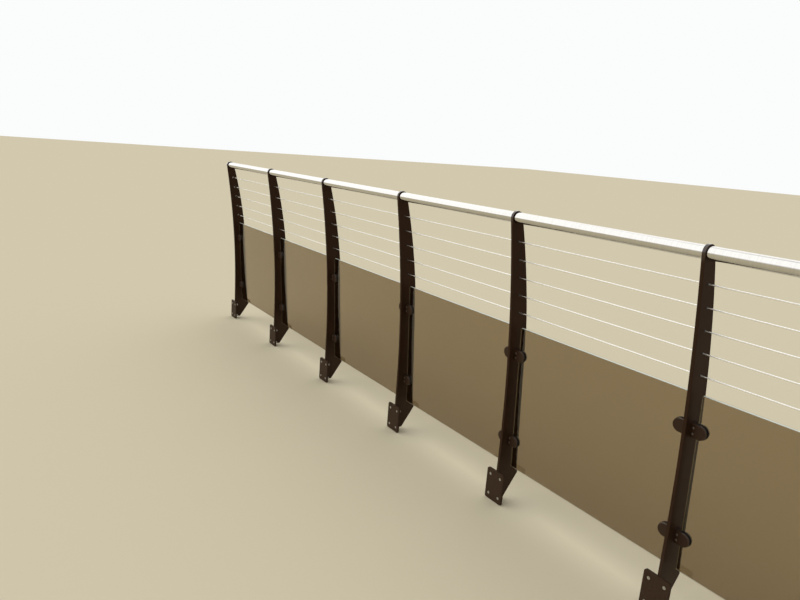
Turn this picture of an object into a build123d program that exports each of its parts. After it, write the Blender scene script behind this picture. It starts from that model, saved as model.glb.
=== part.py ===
# Glass and wire balustrade with inward-leaning curved plate posts, side fixed to a deck edge.
# X runs along the balustrade, -Y is the deck side, +Z is up; millimetres.
# The origin is the centre of the bolt pattern on the deck-side face of the middle post's flange.
from build123d import *
import math
import os

os.makedirs("parts", exist_ok=True)

# Run
bay_count = 6
bay_pitch = 800.0
deck_level = 82.0

# Post fin: a plate whose two edges run into the handrail ring on tangent arcs. Below its bend the
# deck-side edge is upright, and the outer edge is a straight taper, in degrees.
fin_thickness = 12.0
fin_base_width = 113.0
fin_taper = 4.0
fin_lean = 56.0
inner_bend_height = 100.0
outer_bend_height = 450.0
fin_edge_round = 1.2
foot_straight = 40.0
foot_drop = 142.0
foot_bottom_width = 45.0
rail_height = 1080.0
ring_wall = 5.0
rail_fit = 0.3

# Flange at the foot of each post
flange_width = 100.0
flange_height = 140.0
flange_thickness = 10.0
flange_corner = 8.0
flange_bolt_hole = 14.0
flange_bolt_dx = 60.0
flange_bolt_dz = 90.0
weld_leg = 6.0
weld_root = 0.5

# Handrail
rail_diameter = 42.4
rail_wall = 2.6
rail_overhang = 24.0
cap_thickness = 4.0
cap_edge_round = 2.4
cap_spigot = 14.0
cap_fit = 0.2

# Infill wires and their end terminals
wire_count = 5
wire_diameter = 4.0
wire_drop = 94.0
wire_pitch = 73.0
wire_hole = 7.0
stud_diameter = 6.0
sleeve_diameter = 8.0
sleeve_length = 58.0
sleeve_bore_fit = 0.1
sleeve_bore_depth = 46.0
sleeve_to_nut = 2.0
wire_end_gap = 0.5
jam_nut_flats = 10.0
jam_nut_height = 5.0
washer_diameter = 13.0
washer_thickness = 1.5
dome_nut_height = 6.0
dome_inset = 0.3

# Glass
glass_thickness = 10.0
glass_wire_gap = 61.0
glass_bottom = 10.0
glass_end_gap = 17.5
glass_corner = 3.0
glass_arris = 0.8

# Glass clamps: a body on the outside, a cover on the deck side and a rubber lining between
clamp_reach = 52.0
clamp_height = 48.0
clamp_plate = 7.0
clamp_edge_round = 2.0
clamp_inset = 120.0
clamp_screw_x = 8.0
clamp_screw_spacing = 20.0
clamp_screw_hole = 5.5
clamp_bolt_hole = 9.0
gasket_thickness = 1.5
gasket_rim = 1.0

# Depth by which joined solids run into each other, and the slack in picking edges
join = 0.5
slack = 0.01

# Values worked out from the sizes above
post_count = bay_count + 1
run_length = bay_count * bay_pitch
post_x = [-run_length / 2 + i * bay_pitch for i in range(post_count)]
half_fin = fin_thickness / 2
fin_inner_y = flange_thickness
fin_outer_y = flange_thickness + fin_base_width
ring_hole_r = rail_diameter / 2 + rail_fit
ring_r = ring_hole_r + ring_wall
ring_y = fin_inner_y - fin_lean
ring_z = deck_level + rail_height

# Deck-side edge: an arc that starts upright and touches the outside of the ring
inner_bend = (fin_inner_y, deck_level + inner_bend_height)
inner_across = ring_y - inner_bend[0]
inner_reach = math.hypot(inner_across, ring_z - inner_bend[1])
inner_radius = (inner_reach ** 2 - ring_r ** 2) / (2 * (ring_r - inner_across))
inner_centre = (inner_bend[0] - inner_radius, inner_bend[1])

# Outer edge: an arc that starts along the taper and wraps the ring
taper = math.radians(fin_taper)
outer_bend = (fin_outer_y - outer_bend_height * math.tan(taper), deck_level + outer_bend_height)
outer_reach = math.hypot(ring_y - outer_bend[0], ring_z - outer_bend[1])
outer_across = (ring_y - outer_bend[0]) * math.cos(taper) + (ring_z - outer_bend[1]) * math.sin(taper)
outer_radius = (outer_reach ** 2 - ring_r ** 2) / (-2 * (outer_across + ring_r))
outer_centre = (outer_bend[0] - outer_radius * math.cos(taper), outer_bend[1] - outer_radius * math.sin(taper))


def inner_edge_y(z):
    rise = max(0.0, z - inner_centre[1])
    return inner_centre[0] + math.sqrt(inner_radius ** 2 - rise ** 2)


def outer_edge_y(z):
    if z < outer_bend[1]:
        return fin_outer_y - (z - deck_level) * math.tan(taper)
    return outer_centre[0] + math.sqrt(outer_radius ** 2 - (z - outer_centre[1]) ** 2)


def fin_centre_y(z):
    return (inner_edge_y(z) + outer_edge_y(z)) / 2


# Wires lie along the middle of the fin at each height
wire_z = [ring_z - wire_drop - i * wire_pitch for i in range(wire_count)]
wire_y = [fin_centre_y(z) for z in wire_z]

# The glass is flat, so it follows the chord of the curved fins
glass_foot_z = deck_level + glass_bottom
glass_foot_y = fin_centre_y(glass_foot_z)
glass_head_z = wire_z[-1] - glass_wire_gap
glass_head_y = fin_centre_y(glass_head_z)
glass_tilt = math.degrees(math.atan2(glass_foot_y - glass_head_y, glass_head_z - glass_foot_z))
glass_slope = math.hypot(glass_foot_y - glass_head_y, glass_head_z - glass_foot_z)
clamp_along = [clamp_inset, glass_slope - clamp_inset]
upright = Plane(origin=(0, glass_foot_y, glass_foot_z), x_dir=(1, 0, 0), z_dir=(0, 0, 1))
glass_plane = upright.rotated((glass_tilt, 0, 0))


def on_glass(x, y, s):
    """A point given by its place along the run, off the glass centre plane and up the glass."""
    return glass_plane.from_local_coords(Vector(x, y, s))


# Fin outline in the YZ plane
def on_arc(centre, radius, angle):
    return (centre[0] + radius * math.cos(angle), centre[1] + radius * math.sin(angle))


def fin_face():
    inner_end = math.atan2(ring_z - inner_centre[1], ring_y - inner_centre[0])
    outer_end = math.atan2(ring_z - outer_centre[1], ring_y - outer_centre[0])
    inner_middle = on_arc(inner_centre, inner_radius, inner_end / 2)
    inner_tangent = on_arc(inner_centre, inner_radius, inner_end)
    outer_middle = on_arc(outer_centre, outer_radius, (taper + outer_end) / 2)
    outer_tangent = on_arc(outer_centre, outer_radius, outer_end)
    crown = (ring_y, ring_z + ring_r)
    foot_heel = (fin_inner_y, deck_level - foot_drop)
    foot_tip = (fin_inner_y + foot_bottom_width, deck_level - foot_drop)
    foot_turn = (fin_outer_y + foot_straight * math.tan(taper), deck_level - foot_straight)
    outline = [
        Line(inner_bend, foot_heel),
        Line(foot_heel, foot_tip),
        Line(foot_tip, foot_turn),
        Line(foot_turn, outer_bend),
        ThreePointArc(outer_bend, outer_middle, outer_tangent),
        ThreePointArc(outer_tangent, crown, inner_tangent),
        ThreePointArc(inner_tangent, inner_middle, inner_bend),
    ]
    return make_face(Plane.YZ * Wire(outline))


def rod_x(x_from, x_to, radius, y, z):
    """Round bar along X between two places."""
    bar = Cylinder(radius, x_to - x_from, rotation=(0, 90, 0))
    return Pos((x_from + x_to) / 2, y, z) * bar


def hex_x(x_from, x_to, flats, y, z):
    """Hexagonal bar along X between two places."""
    section = Plane.YZ * RegularPolygon(flats / math.sqrt(3), 6)
    return Pos(x_from, y, z) * extrude(section, x_to - x_from)


# One post: fin, flange and the weld beads that join them
fin = extrude(fin_face(), half_fin, both=True)
fin_rim = [e for e in fin.edges() if abs(abs(e.center().X) - half_fin) < slack and e.center().Z > deck_level]
fin = fillet(fin_rim, fin_edge_round)

flange_block = Box(flange_width, flange_thickness, flange_height)
flange_block = fillet(flange_block.edges().filter_by(Axis.Y), flange_corner)
flange = Pos(0, flange_thickness / 2, 0) * flange_block

weld_top = min(flange_height / 2, deck_level) - weld_leg
weld_bottom = max(-flange_height / 2, deck_level - foot_drop)
weld_section = Polyline(
    (half_fin - weld_root, flange_thickness - weld_root),
    (half_fin + weld_leg, flange_thickness - weld_root),
    (half_fin + weld_leg, flange_thickness),
    (half_fin, flange_thickness + weld_leg),
    (half_fin - weld_root, flange_thickness + weld_leg),
    close=True,
)
weld = Pos(0, 0, weld_bottom) * extrude(make_face(weld_section), weld_top - weld_bottom)
post = fin + flange + weld + mirror(weld, Plane.YZ)

for hx in (-flange_bolt_dx / 2, flange_bolt_dx / 2):
    for hz in (-flange_bolt_dz / 2, flange_bolt_dz / 2):
        drill = Cylinder(flange_bolt_hole / 2, 3 * flange_thickness, rotation=(90, 0, 0))
        post -= Pos(hx, flange_thickness / 2, hz) * drill
post -= rod_x(-fin_thickness, fin_thickness, ring_hole_r, ring_y, ring_z)
for y, z in zip(wire_y, wire_z):
    post -= rod_x(-fin_thickness, fin_thickness, wire_hole / 2, y, z)
for s in clamp_along:
    seat = on_glass(0, 0, s)
    post -= rod_x(-fin_thickness, fin_thickness, clamp_bolt_hole / 2, seat.Y, seat.Z)

for i, x in enumerate(post_x):
    export_step(Pos(x, 0, 0) * post, f"parts/post_{i + 1}.step")

# Handrail tube and its two end caps
rail_end = run_length / 2 + rail_overhang
tube = rod_x(-rail_end, rail_end, rail_diameter / 2, ring_y, ring_z)
tube -= rod_x(-rail_end - join, rail_end + join, rail_diameter / 2 - rail_wall, ring_y, ring_z)
export_step(tube, "parts/handrail.step")

cap_disc = rod_x(0, cap_thickness, rail_diameter / 2, 0, 0)
cap_rim = cap_disc.edges().filter_by(GeomType.CIRCLE).group_by(Axis.X)[-1]
cap_disc = fillet(cap_rim, cap_edge_round)
cap = cap_disc + rod_x(-cap_spigot, join, rail_diameter / 2 - rail_wall - cap_fit, 0, 0)
cap_right = Pos(rail_end, ring_y, ring_z) * cap
cap_left = Pos(-rail_end, ring_y, ring_z) * mirror(cap, Plane.YZ)
export_step(Compound(children=[cap_left, cap_right]), "parts/handrail_end_caps.step")

# Wires, each one length from end to end
end_x = run_length / 2
sleeve_start = end_x - half_fin - jam_nut_height - sleeve_to_nut
bore_end = sleeve_start - sleeve_length + sleeve_bore_depth
wire_end = bore_end - wire_end_gap
for i in range(wire_count):
    wire = rod_x(-wire_end, wire_end, wire_diameter / 2, wire_y[i], wire_z[i])
    export_step(wire, f"parts/wire_{i + 1}.step")


# Wire terminals: bored sleeve, stud through the end fin, jam nut inside, washer and dome nut outside
def terminal():
    sleeve_foot = sleeve_start - sleeve_length
    nut_out = end_x + half_fin + washer_thickness
    dome_x = nut_out + dome_nut_height
    body = rod_x(sleeve_foot, sleeve_start, sleeve_diameter / 2, 0, 0)
    body -= rod_x(sleeve_foot - join, bore_end, wire_diameter / 2 + sleeve_bore_fit, 0, 0)
    body += rod_x(sleeve_start - join, nut_out + join, stud_diameter / 2, 0, 0)
    body += hex_x(end_x - half_fin - jam_nut_height, end_x - half_fin, jam_nut_flats, 0, 0)
    body += rod_x(end_x + half_fin, nut_out, washer_diameter / 2, 0, 0)
    body += hex_x(nut_out, dome_x, jam_nut_flats, 0, 0)
    return body + Pos(dome_x, 0, 0) * Sphere(jam_nut_flats / 2 - dome_inset)


one_terminal = terminal()
right_set = [Pos(0, wire_y[i], wire_z[i]) * one_terminal for i in range(wire_count)]
left_set = [Pos(0, wire_y[i], wire_z[i]) * mirror(one_terminal, Plane.YZ) for i in range(wire_count)]
export_step(Compound(children=left_set), "parts/wire_terminals_left.step")
export_step(Compound(children=right_set), "parts/wire_terminals_right.step")

# Glass panels, one per bay, all alike
glass_length = bay_pitch - fin_thickness - 2 * glass_end_gap
pane = Box(glass_length, glass_thickness, glass_slope, align=(Align.CENTER, Align.CENTER, Align.MIN))
pane = fillet(pane.edges().filter_by(Axis.Y), glass_corner)
pane_faces = pane.faces().filter_by(Axis.Y)
pane = chamfer(pane_faces.edges(), glass_arris)
pane_at_zero = glass_plane.location * pane
bay_x = [(post_x[i] + post_x[i + 1]) / 2 for i in range(bay_count)]
for i, x in enumerate(bay_x):
    export_step(Pos(x, 0, 0) * pane_at_zero, f"parts/glass_panel_{i + 1}.step")


# Clamp pieces, drawn at the origin: flat back on the YZ plane, glass plane on XZ, nose toward +X
def d_shape(grow, x_from):
    nose_r = clamp_height / 2 + grow
    nose_x = clamp_reach - clamp_height / 2
    block = Pos((x_from + nose_x) / 2, 0) * Rectangle(nose_x - x_from, 2 * nose_r)
    nose = Pos(nose_x, 0) * Circle(nose_r)
    keep = Pos(x_from + clamp_reach, 0) * Rectangle(2 * clamp_reach, 4 * clamp_reach)
    return (block + nose) & keep


def d_plate(grow, x_from, y_from, y_to):
    flat = extrude(d_shape(grow, x_from), y_to - y_from)
    return Pos(0, y_to, 0) * (Rot(90, 0, 0) * flat)


half_glass = glass_thickness / 2
lined = half_glass + gasket_thickness
outer = lined + clamp_plate
block_end = glass_end_gap - gasket_thickness

cover = d_plate(0, 0, -outer, -lined)
cover_rim = [e for e in cover.edges() if abs(e.center().Y + outer) < slack and e.center().X > slack]
cover = fillet(cover_rim, clamp_edge_round)
for dz in (-clamp_screw_spacing / 2, clamp_screw_spacing / 2):
    drill = Cylinder(clamp_screw_hole / 2, 3 * clamp_plate, rotation=(90, 0, 0))
    cover -= Pos(clamp_screw_x, -outer, dz) * drill

body_plate = d_plate(0, 0, lined, outer)
body_rim = [e for e in body_plate.edges() if abs(e.center().Y - outer) < slack and e.center().X > slack]
body_plate = fillet(body_rim, clamp_edge_round)
block = Box(block_end, 2 * lined + join, clamp_height)
body = body_plate + Pos(block_end / 2, join / 2, 0) * block

glass_pocket = d_plate(2 * gasket_rim, glass_end_gap, -half_glass, half_glass)
lining = d_plate(gasket_rim, block_end, -lined, lined) - glass_pocket


def four_in_bay(piece, x):
    """The piece at both heights on both posts of the bay centred on x."""
    placed = []
    for s in clamp_along:
        for side in (-1, 1):
            turned = piece if side < 0 else mirror(piece, Plane.YZ)
            back = side * (bay_pitch / 2 - half_fin)
            spot = glass_plane.location * Pos(back, 0, s)
            placed.append(Pos(x, 0, 0) * (spot * turned))
    return Compound(children=placed)


for i, x in enumerate(bay_x):
    export_step(four_in_bay(body, x), f"parts/clamp_bodies_{i + 1}.step")
    export_step(four_in_bay(cover, x), f"parts/clamp_covers_{i + 1}.step")
    export_step(four_in_bay(lining, x), f"parts/clamp_linings_{i + 1}.step")
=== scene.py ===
import bmesh
import bpy
import math
from mathutils import Matrix, Vector


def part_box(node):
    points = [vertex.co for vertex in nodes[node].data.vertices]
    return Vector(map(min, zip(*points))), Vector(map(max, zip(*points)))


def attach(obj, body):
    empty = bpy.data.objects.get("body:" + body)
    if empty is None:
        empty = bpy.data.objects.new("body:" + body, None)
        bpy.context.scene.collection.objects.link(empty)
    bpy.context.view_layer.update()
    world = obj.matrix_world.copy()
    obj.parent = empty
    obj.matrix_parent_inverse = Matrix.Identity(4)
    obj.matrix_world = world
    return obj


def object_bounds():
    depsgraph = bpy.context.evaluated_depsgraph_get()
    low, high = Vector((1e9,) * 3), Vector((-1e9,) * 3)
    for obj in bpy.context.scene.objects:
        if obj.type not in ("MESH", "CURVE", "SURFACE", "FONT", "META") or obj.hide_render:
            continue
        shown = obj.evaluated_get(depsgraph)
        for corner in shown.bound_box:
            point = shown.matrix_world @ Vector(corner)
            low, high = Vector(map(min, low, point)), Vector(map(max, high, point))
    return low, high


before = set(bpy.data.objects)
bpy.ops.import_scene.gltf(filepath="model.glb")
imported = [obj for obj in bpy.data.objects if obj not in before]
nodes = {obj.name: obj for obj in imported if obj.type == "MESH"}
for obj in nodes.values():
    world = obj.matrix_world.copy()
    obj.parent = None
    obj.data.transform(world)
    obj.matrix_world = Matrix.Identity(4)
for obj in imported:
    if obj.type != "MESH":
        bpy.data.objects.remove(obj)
cad_low, cad_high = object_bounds()


# Posts: laser-cut 12 mm steel fins, each with a welded flange at its foot and a ring for the rail.
# They are polyester powder coated in a dull satin chocolate brown, which has a faint orange peel
# and mirrors little of the sky.
def linear(hex_colour):
    """An sRGB hex colour as linear RGBA."""
    channels = [int(hex_colour[i:i + 2], 16) / 255 for i in (1, 3, 5)]
    return [c / 12.92 if c <= 0.04045 else ((c + 0.055) / 1.055) ** 2.4 for c in channels] + [1.0]


def per_metre(size_mm):
    """Texture scale at which one feature of a pattern is size_mm long."""
    return 1000.0 / size_mm


def feed(tree, node, settings):
    """Gives each input of a node, by name or number, a value or another node's output."""
    for socket, value in settings.items():
        if isinstance(value, bpy.types.NodeSocket):
            tree.links.new(value, node.inputs[socket])
        else:
            node.inputs[socket].default_value = value


def add(tree, kind, settings=None, **properties):
    """Adds a node with its properties, and feeds it its settings."""
    node = tree.nodes.new(kind)
    for name, value in properties.items():
        setattr(node, name, value)
    feed(tree, node, settings or {})
    return node


# A colour Mix node's inputs share their names with its others, so they go by number
colour_a, colour_b, colour_out = 6, 7, 2


def new_finish(name):
    """A new material with its node tree, its main shader and the place on the object in metres."""
    made = bpy.data.materials.new(name)
    made.use_nodes = True
    place = add(made.node_tree, "ShaderNodeTexCoord").outputs["Object"]
    return made, made.node_tree, made.node_tree.nodes["Principled BSDF"], place


def uneven(tree, place, size_mm, detail, low, high):
    """A value that drifts between low and high in patches of size_mm."""
    patches = {"Vector": place, "Scale": per_metre(size_mm), "Detail": detail}
    patches = add(tree, "ShaderNodeTexNoise", patches).outputs["Fac"]
    drift = {"Value": patches, "To Min": low, "To Max": high}
    return add(tree, "ShaderNodeMapRange", drift).outputs["Result"]


def squareness(tree, direction):
    """How squarely a surface faces along a direction, either way: 0 edge on, 1 face on."""
    normal = add(tree, "ShaderNodeNewGeometry").outputs["Normal"]
    along = add(tree, "ShaderNodeVectorMath", {0: normal, 1: direction}, operation="DOT_PRODUCT")
    along = along.outputs["Value"]
    return add(tree, "ShaderNodeMath", {0: along}, operation="ABSOLUTE").outputs[0]


def powder_coat(name, tone, light_tone, gloss):
    """Powder coating, cloudy between two tones, with orange peel, smears and dust at its foot."""
    coat, tree, shader, place = new_finish(name)
    cloud = {"Vector": place, "Scale": per_metre(220), "Detail": 3.0}
    cloud = add(tree, "ShaderNodeTexNoise", cloud).outputs["Fac"]
    colour = {0: cloud, colour_a: linear(tone), colour_b: linear(light_tone)}
    colour = add(tree, "ShaderNodeMix", colour, data_type="RGBA").outputs[colour_out]

    # Dry dust that rain splashes onto the lowest 190 mm above the flange
    flange_top, dust_top = 0.07, 0.26
    height = add(tree, "ShaderNodeSeparateXYZ", {"Vector": place}).outputs["Z"]
    splash = {"Value": height, "From Min": dust_top, "From Max": flange_top, "To Max": 0.45}
    splash = add(tree, "ShaderNodeMapRange", splash).outputs["Result"]
    grains = {"Vector": place, "Scale": per_metre(9), "Detail": 5.0}
    grains = add(tree, "ShaderNodeTexNoise", grains).outputs["Fac"]
    dust = add(tree, "ShaderNodeMath", {0: splash, 1: grains}, operation="MULTIPLY").outputs[0]
    dusty = {0: dust, colour_a: colour, colour_b: linear("#54473A")}
    dusty = add(tree, "ShaderNodeMix", dusty, data_type="RGBA").outputs[colour_out]

    peel = {"Vector": place, "Scale": per_metre(1.8), "Detail": 1.0}
    peel = add(tree, "ShaderNodeTexNoise", peel).outputs["Fac"]
    peel = {"Height": peel, "Strength": 0.6, "Distance": 0.0002}
    peel = add(tree, "ShaderNodeBump", peel).outputs["Normal"]
    smears = uneven(tree, place, size_mm=45, detail=4.0, low=0.34, high=0.48)
    feed(tree, shader, {"Base Color": dusty, "Roughness": smears, "Normal": peel,
                        "Specular IOR Level": gloss})
    return coat, tree, shader, place


def gloss_over(tree, shader, mask):
    """Lays a clear glossy skin over a coating where mask is 1."""
    feed(tree, shader, {"Coat Weight": mask, "Coat Roughness": 0.12})


def dress(node_names, material):
    """Gives CAD nodes their finish."""
    for name in node_names:
        nodes[name].data.materials.clear()
        nodes[name].data.materials.append(material)


def named(*starts):
    """The CAD nodes whose names start in one of these ways, in order."""
    return sorted(name for name in nodes if name.startswith(starts))


def middle(name):
    """The middle of a CAD node's box."""
    low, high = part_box(name)
    return (low + high) / 2


post_names = named("post_")
post_x = [middle(name).x for name in post_names]
coat, tree, shader, place = powder_coat(
    "satin_brown_powder_coat_on_posts", "#2C1D13", "#3B291D", gloss=0.04)
dress(post_names, coat)

# Hands sliding along the rail keep the outside of each ring glossy, from its sides up
rail = middle("handrail")
ring_reach = 0.030
outside = {"Value": squareness(tree, (1, 0, 0)), "From Min": 0.9, "From Max": 0.3}
outside = add(tree, "ShaderNodeMapRange", outside).outputs["Result"]
height = add(tree, "ShaderNodeSeparateXYZ", {"Vector": place}).outputs["Z"]
rubbed = {"Value": height, "From Min": rail.z - ring_reach, "From Max": rail.z, "To Max": outside}
gloss_over(tree, shader, add(tree, "ShaderNodeMapRange", rubbed).outputs["Result"])


# Flange bolts: M12 hexagon bolts, stainless, with a plain washer under each head.
# Four hold each post's flange; their heads sit on its outer face and their shanks stop inside
# its holes, just short of the face that is bolted up.
def add_turned(shape, rings, place, sides=36, hollow=False):
    """Adds a turned solid: rings of (height, radius, six_sided) stacked along its own Z axis."""
    loops = []
    for height, radius, six_sided in rings:
        loop = []
        for k in range(sides):
            turn = 2 * math.pi * k / sides
            off_flat = (turn + math.pi / 6) % (math.pi / 3) - math.pi / 6
            reach = radius / math.cos(off_flat) if six_sided else radius
            point = Vector((reach * math.cos(turn), reach * math.sin(turn), height))
            loop.append(shape.verts.new(place @ point))
        loops.append(loop)
    pairs = list(zip(loops, loops[1:]))
    if hollow:
        pairs.append((loops[-1], loops[0]))
    else:
        shape.faces.new(list(reversed(loops[0])))
        shape.faces.new(loops[-1])
    for low, high in pairs:
        for k in range(sides):
            after = (k + 1) % sides
            shape.faces.new((low[k], low[after], high[after], high[k]))


def settle(name, shape, material):
    """Turns a finished bmesh into a piece that rides with the part."""
    sharp_from = math.radians(32)
    bmesh.ops.recalc_face_normals(shape, faces=shape.faces)
    mesh = bpy.data.meshes.new(name)
    shape.to_mesh(mesh)
    shape.free()
    mesh.shade_smooth()
    mesh.set_sharp_from_angle(angle=sharp_from)
    mesh.materials.append(material)
    piece = bpy.data.objects.new(name, mesh)
    bpy.context.scene.collection.objects.link(piece)
    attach(piece, "root")


def machined_steel(name, tone, roughness):
    """Machined stainless steel, which a thin film dulls here and there."""
    metal, tree, shader, place = new_finish(name)
    low, high = roughness - 0.06, roughness + 0.08
    dull = uneven(tree, place, size_mm=6, detail=3.0, low=low, high=high)
    feed(tree, shader, {"Base Color": linear(tone), "Metallic": 1.0, "Roughness": dull})
    return metal


flange_thickness = 0.010
bolt_dx, bolt_dz = 0.030, 0.045
shank, short_of_face, into_head = 0.006, 0.0005, 0.0005
washer_thick = 0.0025
washer_rings = [(0, 0.0063, 0), (0, 0.0118, 0), (0.0004, 0.0122, 0), (0.0021, 0.0122, 0),
                (washer_thick, 0.0118, 0), (washer_thick, 0.0063, 0)]
head_rings = [(0, 0.0088, 0), (0.0003, 0.009, 1), (0.0064, 0.009, 1), (0.0075, 0.0086, 0),
              (0.0075, 0.006, 0)]
shank_rings = [(short_of_face - flange_thickness, shank, 0), (washer_thick + into_head, shank, 0)]
bolt_steel = machined_steel("stainless_hexagon_bolt", "#B9B7B2", 0.38)
outward = Matrix.Rotation(math.radians(-90), 4, "X")
for name, x in zip(post_names, post_x):
    shape = bmesh.new()
    for dx in (-bolt_dx, bolt_dx):
        for dz in (-bolt_dz, bolt_dz):
            seat = Matrix.Translation((x + dx, flange_thickness, dz)) @ outward
            add_turned(shape, washer_rings, seat, hollow=True)
            add_turned(shape, head_rings, seat @ Matrix.Translation((0, 0, washer_thick)))
            add_turned(shape, shank_rings, seat)
    settle(f"{name}_flange_bolts", shape, bolt_steel)


# Handrail: 42.4 mm stainless tube, slid through the rings and finished with a fine grit belt.
# The belt leaves hair lines round the tube, so it mirrors the sky as one long bright band
# with a slightly soft lower edge.
metal, tree, shader, place = new_finish("belt_polished_stainless_tube")
# The real grit lines are 0.1 mm apart; 0.9 mm is the finest that shows
line_scale = (per_metre(0.9), per_metre(40), per_metre(40))
lines = add(tree, "ShaderNodeMapping", {"Vector": place, "Scale": line_scale}).outputs["Vector"]
lines = {"Vector": lines, "Scale": 1.0, "Detail": 2.0}
lines = add(tree, "ShaderNodeTexNoise", lines).outputs["Fac"]
bright = {"Value": lines, "From Min": 0.3, "From Max": 0.7}
bright = add(tree, "ShaderNodeMapRange", bright).outputs["Result"]
bright = {0: bright, colour_a: linear("#C5C2BD"), colour_b: linear("#D2D0CC")}
bright = add(tree, "ShaderNodeMix", bright, data_type="RGBA").outputs[colour_out]
haze = {"Vector": place, "Scale": per_metre(70), "Detail": 4.0}
haze = add(tree, "ShaderNodeTexNoise", haze).outputs["Fac"]
grain = add(tree, "ShaderNodeMath", {0: lines, 1: haze}, operation="MULTIPLY").outputs[0]
grain = {"Value": grain, "From Min": 0.1, "From Max": 0.45, "To Min": 0.07, "To Max": 0.13}
grain = add(tree, "ShaderNodeMapRange", grain).outputs["Result"]
scratches = {"Height": lines, "Strength": 0.25, "Distance": 0.0001}
scratches = add(tree, "ShaderNodeBump", scratches).outputs["Normal"]
feed(tree, shader, {"Base Color": bright, "Metallic": 1.0, "Roughness": grain, "Normal": scratches})
dress(["handrail"], metal)


# End caps: turned stainless plugs pressed into both ends of the tube.
# The lathe left fine rings on their faces, which catch the light in turn.
metal, tree, shader, place = new_finish("lathe_faced_stainless_cap")
# The real rings are 0.2 mm apart; 1.1 mm is the finest that shows
ring_spacing = 0.0011
off_axis = {0: place, 1: (0, rail.y, rail.z)}
off_axis = add(tree, "ShaderNodeVectorMath", off_axis, operation="SUBTRACT").outputs[0]
off_axis = {0: off_axis, 1: (0, 1, 1)}
off_axis = add(tree, "ShaderNodeVectorMath", off_axis, operation="MULTIPLY").outputs[0]
radius = add(tree, "ShaderNodeVectorMath", {0: off_axis}, operation="LENGTH").outputs["Value"]
rings = {0: radius, 1: 2 * math.pi / ring_spacing}
rings = add(tree, "ShaderNodeMath", rings, operation="MULTIPLY").outputs[0]
rings = add(tree, "ShaderNodeMath", {0: rings}, operation="SINE").outputs[0]
rings = {"Height": rings, "Strength": 0.5, "Distance": 0.0001}
rings = add(tree, "ShaderNodeBump", rings).outputs["Normal"]
wear = uneven(tree, place, size_mm=9, detail=4.0, low=0.2, high=0.36)
feed(tree, shader, {"Base Color": linear("#CFCCC7"), "Metallic": 1.0, "Roughness": wear,
                    "Normal": rings})
dress(["handrail_end_caps"], metal)


# Wires: five 4 mm stainless strands, each twelve outer wires laid over a core and pulled taut
# from one end of the run to the other.
# The lay shows only close to; from further off it softens the bright line along each wire.
strand_wires = 12
lay_length = 0.040
strand, tree, shader, place = new_finish("stainless_strand")
along = add(tree, "ShaderNodeSeparateXYZ", {"Vector": place}).outputs["X"]
normal = add(tree, "ShaderNodeNewGeometry").outputs["Normal"]
facing = add(tree, "ShaderNodeSeparateXYZ", {"Vector": normal}).outputs
turn = add(tree, "ShaderNodeMath", {0: facing["Y"], 1: facing["Z"]}, operation="ARCTAN2")
twist = {0: along, 1: 2 * math.pi / lay_length, 2: turn.outputs[0]}
twist = add(tree, "ShaderNodeMath", twist, operation="MULTIPLY_ADD").outputs[0]
lay = add(tree, "ShaderNodeMath", {0: twist, 1: strand_wires}, operation="MULTIPLY").outputs[0]
lay = add(tree, "ShaderNodeMath", {0: lay}, operation="SINE").outputs[0]
lay = {"Height": lay, "Strength": 0.6, "Distance": 0.0002}
lay = add(tree, "ShaderNodeBump", lay).outputs["Normal"]
feed(tree, shader, {"Base Color": linear("#EEECE7"), "Metallic": 1.0, "Roughness": 0.32,
                    "Normal": lay})
wire_names = [f"wire_{count}" for count in range(1, 6)]
dress(wire_names, strand)


# Wire terminals: stainless sleeves swaged onto the wire ends, with a stud, a jam nut on the inner
# face of the end post and a washer and dome nut outside.
# They are turned and left bright, so they shine a little more than the bolts.
turned_steel = machined_steel("turned_stainless_terminal", "#D2D0CB", 0.24)
dress(["wire_terminals_left", "wire_terminals_right"], turned_steel)


# Wire bushes: black nylon sleeves that keep the strand off the coating where it passes an inner
# post. Each is moulded, and matt, with a thin collar that stands on both faces of the fin.
nylon, tree, shader, place = new_finish("moulded_black_nylon")
matt = uneven(tree, place, size_mm=0.7, detail=2.0, low=0.42, high=0.58)
feed(tree, shader, {"Base Color": linear("#171614"), "Roughness": matt})
half_fin = 0.006
bore, barrel, collar, collar_face = 0.0021, 0.0034, 0.0046, 0.0040
collar_edge, bush_end = half_fin + 0.0002, half_fin + 0.0009
half_bush = [(half_fin, barrel, 0), (half_fin, collar, 0), (collar_edge, collar, 0),
             (bush_end, collar_face, 0), (bush_end, bore, 0)]
bush_rings = [(-height, radius, 0) for height, radius, _ in reversed(half_bush)] + half_bush
along_run = Matrix.Rotation(math.radians(90), 4, "Y")
for name in wire_names:
    wire = middle(name)
    shape = bmesh.new()
    for x in post_x[1:-1]:
        seat = Matrix.Translation((x, wire.y, wire.z)) @ along_run
        add_turned(shape, bush_rings, seat, hollow=True)
    settle(f"{name}_bushes", shape, nylon)


# Glass: 10 mm toughened bronze-tinted float glass, one pane to a bay, with ground edges, leaning
# in over the deck. The tint is in the glass all through. The rollers of the furnace leave faint
# waves in its faces, and rain leaves a slight film.
glass_low, glass_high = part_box("glass_panel_1")
broad = max(nodes["glass_panel_1"].data.polygons, key=lambda face: face.area).normal
outward_of_glass = Vector(broad) if broad.y > 0 else -Vector(broad)
lean = math.atan2(outward_of_glass.z, outward_of_glass.y)
bronze, tree, shader, place = new_finish("bronze_float_glass_ground_edges")
edge = {"Value": squareness(tree, outward_of_glass), "From Min": 0.9, "From Max": 0.5}
edge = add(tree, "ShaderNodeMapRange", edge).outputs["Result"]
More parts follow.
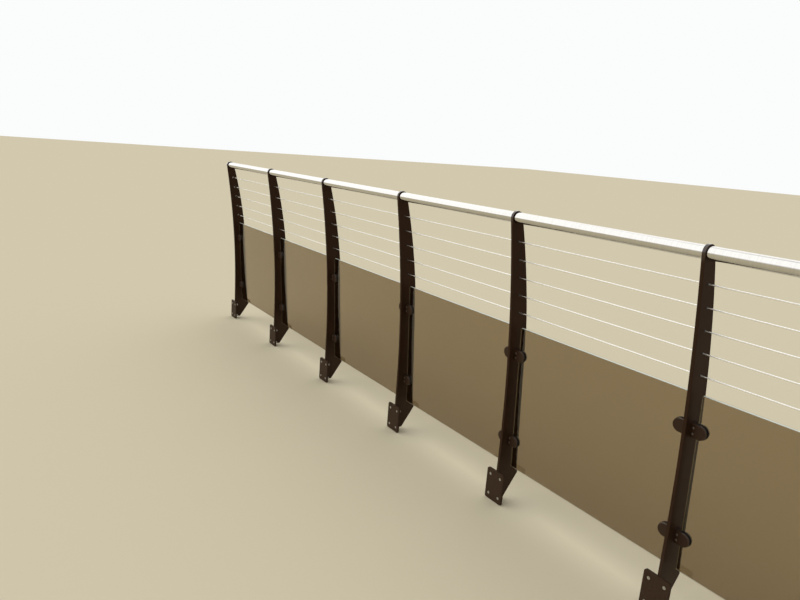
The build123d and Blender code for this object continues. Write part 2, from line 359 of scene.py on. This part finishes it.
# The ground edges are rough. Their colour holds painted light: a painted highlight of the sky makes
# the top one a pale line, and painted shade keeps the upright ones dark beside the fins
normal = add(tree, "ShaderNodeNewGeometry").outputs["Normal"]
upward = add(tree, "ShaderNodeSeparateXYZ", {"Vector": normal}).outputs["Z"]
painted_edge_light = {0: upward, colour_a: linear("#4F4A3A"), colour_b: linear("#D3D9CA")}
painted_edge_light = add(tree, "ShaderNodeMix", painted_edge_light, data_type="RGBA").outputs[colour_out]
tint_and_painted_edge_light = {0: edge, colour_a: linear("#9A8970"), colour_b: painted_edge_light}
tint_and_painted_edge_light = add(tree, "ShaderNodeMix", tint_and_painted_edge_light, data_type="RGBA").outputs[colour_out]
clear = {"Value": edge, "To Min": 1.0, "To Max": 0.3}
clear = add(tree, "ShaderNodeMapRange", clear).outputs["Result"]
film = {"Vector": place, "Scale": per_metre(30), "Detail": 6.0}
film = add(tree, "ShaderNodeTexNoise", film).outputs["Fac"]
film = {"Value": film, "From Min": 0.45, "From Max": 0.8, "To Max": 0.05}
film = add(tree, "ShaderNodeMapRange", film).outputs["Result"]
value_a, value_b = 2, 3  # a plain Mix node's inputs, by number like a colour one's
rough = {0: edge, value_a: film, value_b: 0.4}
rough = add(tree, "ShaderNodeMix", rough, data_type="FLOAT").outputs[0]
waves = {"Vector": place, "Scale": per_metre(260), "Detail": 0.0}
waves = add(tree, "ShaderNodeTexNoise", waves).outputs["Fac"]
waves = {"Height": waves, "Strength": 0.5, "Distance": 0.0004}
waves = add(tree, "ShaderNodeBump", waves).outputs["Normal"]
feed(tree, shader, {"Base Color": tint_and_painted_edge_light, "Transmission Weight": clear, "IOR": 1.52,
                    "Roughness": rough, "Normal": waves})
dress(named("glass_panel_"), bronze)


# Glass clamps: machined steel D plates, a body on the outer side and a cover on the deck side.
# Both are powder coated with the posts, so they match them, but the coating lies thicker and
# glossier round their rims, which shows as a thin pale line under the sky.
coat, tree, shader, _ = powder_coat(
    "satin_brown_powder_coat_on_clamps", "#2C1B11", "#382617", gloss=0.15)
rim = {"Value": squareness(tree, outward_of_glass), "From Min": 0.95, "From Max": 0.7}
gloss_over(tree, shader, add(tree, "ShaderNodeMapRange", rim).outputs["Result"])
dress(named("clamp_bodies_", "clamp_covers_"), coat)


# Clamp linings: black rubber pads that keep steel off the glass.
# They are moulded, matt, and stand out a millimetre past the plates as a dark line.
rubber, tree, shader, place = new_finish("moulded_black_rubber")
chalky = uneven(tree, place, size_mm=1.2, detail=3.0, low=0.7, high=0.9)
feed(tree, shader, {"Base Color": linear("#0F0E0E"), "Roughness": chalky})
dress(named("clamp_linings_"), rubber)


# Clamp screws: two M5 button-head socket screws through each cover, in browned stainless.
# They pull the cover onto the body; each dome shows as a dull dot a little lighter than the cover.
clamp_inset = 0.120
screw_from_fin, screw_half_spacing = 0.008, 0.010
cover_face = 0.0135
half_glass = 0.005
slope = (glass_high.z - glass_low.z - 2 * half_glass * math.sin(lean)) / math.cos(lean)
clamp_places = (clamp_inset, slope - clamp_inset)
foot_y = glass_high.y - half_glass * math.cos(lean)
foot_z = glass_low.z + half_glass * math.sin(lean)
toward_deck = Matrix.Rotation(math.radians(90) + lean, 4, "X")


def on_glass(x, off, up):
    """A point off the middle plane of the glass, counted outward, and up its slope."""
    y = foot_y + off * math.cos(lean) - up * math.sin(lean)
    return Vector((x, y, foot_z + up * math.cos(lean) + off * math.sin(lean)))


def button_head(radius, height, socket, skirt):
    """Rings of a domed head with a hexagon socket, which a flat land surrounds."""
    land = 1.35 * socket
    rings = [(0, radius, 0), (skirt, radius, 0)]
    for degrees in range(15, 90, 15):
        rise = math.radians(degrees)
        across = land + (radius - land) * math.cos(rise)
        rings.append((skirt + (height - skirt) * math.sin(rise), across, 0))
    return rings + [(height, 1.3 * socket, 0), (height, socket, 1), (0.4 * height, socket, 1)]


screw_steel = machined_steel("browned_stainless_button_screw", "#6A6057", 0.34)
screw_head = button_head(radius=0.00475, height=0.0027, socket=0.0015, skirt=0.0006)
for bay, (left, right) in enumerate(zip(post_x, post_x[1:])):
    shape = bmesh.new()
    for up in clamp_places:
        for x in (left + half_fin + screw_from_fin, right - half_fin - screw_from_fin):
            for along_slope in (-screw_half_spacing, screw_half_spacing):
                point = on_glass(x, -cover_face, up + along_slope)
                add_turned(shape, screw_head, Matrix.Translation(point) @ toward_deck)
    settle(f"clamp_screws_{bay + 1}", shape, screw_steel)


# Clamp bolts: on the two end posts the M8 bolt that holds the clamps shows on the far face of the
# fin, as a button head on a washer, in the steel of the screws.
clamp_washer_thick = 0.0016
clamp_washer = [(0, 0.0043, 0), (0, 0.0080, 0), (0.0003, 0.0084, 0), (0.0013, 0.0084, 0),
                (clamp_washer_thick, 0.0080, 0), (clamp_washer_thick, 0.0043, 0)]
clamp_bolt_head = button_head(radius=0.0070, height=0.0044, socket=0.0025, skirt=0.0008)
for name, x, side in ((post_names[0], post_x[0], -1), (post_names[-1], post_x[-1], 1)):
    shape = bmesh.new()
    away = Matrix.Rotation(side * math.radians(90), 4, "Y")
    for up in clamp_places:
        seat = Matrix.Translation(on_glass(x + side * half_fin, 0, up)) @ away
        add_turned(shape, clamp_washer, seat, hollow=True)
        on_washer = seat @ Matrix.Translation((0, 0, clamp_washer_thick))
        add_turned(shape, clamp_bolt_head, on_washer)
    settle(f"{name}_clamp_bolts", shape, screw_steel)


# Floor: a plain pale sheet under the flanges, warm enough to give the rail its beige underside.
# It is matt all over, so nothing on it draws the eye.
floor_half_width, gap_under_flanges = 60, 0.001
floor_shape = bmesh.new()
bmesh.ops.create_grid(floor_shape, x_segments=1, y_segments=1, size=floor_half_width)
floor_mesh = bpy.data.meshes.new("floor")
floor_shape.to_mesh(floor_mesh)
floor_shape.free()
floor = bpy.data.objects.new("floor", floor_mesh)
floor.location.z = cad_low.z - gap_under_flanges
bpy.context.scene.collection.objects.link(floor)
painted, tree, shader, _ = new_finish("pale_floor")
feed(tree, shader, {"Base Color": linear("#CEC4AA"), "Roughness": 1.0, "Specular IOR Level": 0.0})
floor_mesh.materials.append(painted)

# Light: an even white sky, which lights the faces that the fins turn to the camera less than the
# deck side, and two wide soft lamps, one over the deck and a weaker one beyond the far end
world = bpy.data.worlds.new("overcast")
world.use_nodes = True
bpy.context.scene.world = world
tree = world.node_tree
tree.nodes.clear()
way = add(tree, "ShaderNodeTexCoord").outputs["Generated"]
way = add(tree, "ShaderNodeSeparateXYZ", {"Vector": way}).outputs["X"]
falling = {"Value": way, "From Min": 0.0, "From Max": 0.7, "To Min": 1.0, "To Max": 0.4}
falling = add(tree, "ShaderNodeMapRange", falling).outputs["Result"]
rays = add(tree, "ShaderNodeLightPath").outputs
plain = {0: rays["Is Camera Ray"], 1: rays["Is Glossy Ray"]}
plain = add(tree, "ShaderNodeMath", plain, operation="MAXIMUM").outputs[0]
plain = {0: plain, 1: rays["Is Transmission Ray"]}
plain = add(tree, "ShaderNodeMath", plain, operation="MAXIMUM").outputs[0]
level = {0: plain, value_a: falling, value_b: 1.0}
level = add(tree, "ShaderNodeMix", level, data_type="FLOAT").outputs[0]
sky = add(tree, "ShaderNodeBackground", {"Color": linear("#FBFCFC"), "Strength": level})
add(tree, "ShaderNodeOutputWorld", {"Surface": sky.outputs["Background"]})
for name, energy, angle, toward in (("deck_lamp", 0.9, 80, (-0.6, -0.45, 0.65)),
                                    ("far_lamp", 0.4, 60, (-0.67, 0.6, 0.42))):
    lamp = bpy.data.lights.new(name, "SUN")
    lamp.energy = energy
    lamp.angle = math.radians(angle)
    placed_lamp = bpy.data.objects.new(name, lamp)
    placed_lamp.rotation_mode = "QUATERNION"
    placed_lamp.rotation_quaternion = Vector(toward).to_track_quat("Z", "Y")
    bpy.context.scene.collection.objects.link(placed_lamp)

# Camera: at eye height on the deck side, turned toward the run and tipped down, with the slight
# roll of the photograph
eye = Vector((2.6577, -1.8612, 1.3924))
heading, pitch, roll = (math.radians(angle) for angle in (34.83, 13.06, 4.39))
level_ahead = Vector((-math.cos(heading), math.sin(heading), 0))
ahead = level_ahead * math.cos(pitch) - Vector((0, 0, math.sin(pitch)))
level_right = Vector((math.sin(heading), math.cos(heading), 0))
right = level_right * math.cos(roll) + level_right.cross(ahead) * math.sin(roll)
above = right.cross(ahead)
lens = bpy.data.cameras.new("camera")
lens.sensor_width = 36
lens.lens = 29.48
lens.clip_start, lens.clip_end = 0.05, 300
camera = bpy.data.objects.new("camera", lens)
turned = Matrix((right, above, -ahead)).transposed().to_4x4()
camera.matrix_world = Matrix.Translation(eye) @ turned
bpy.context.scene.collection.objects.link(camera)
bpy.context.scene.camera = camera
bpy.context.scene.view_settings.view_transform = "Standard"
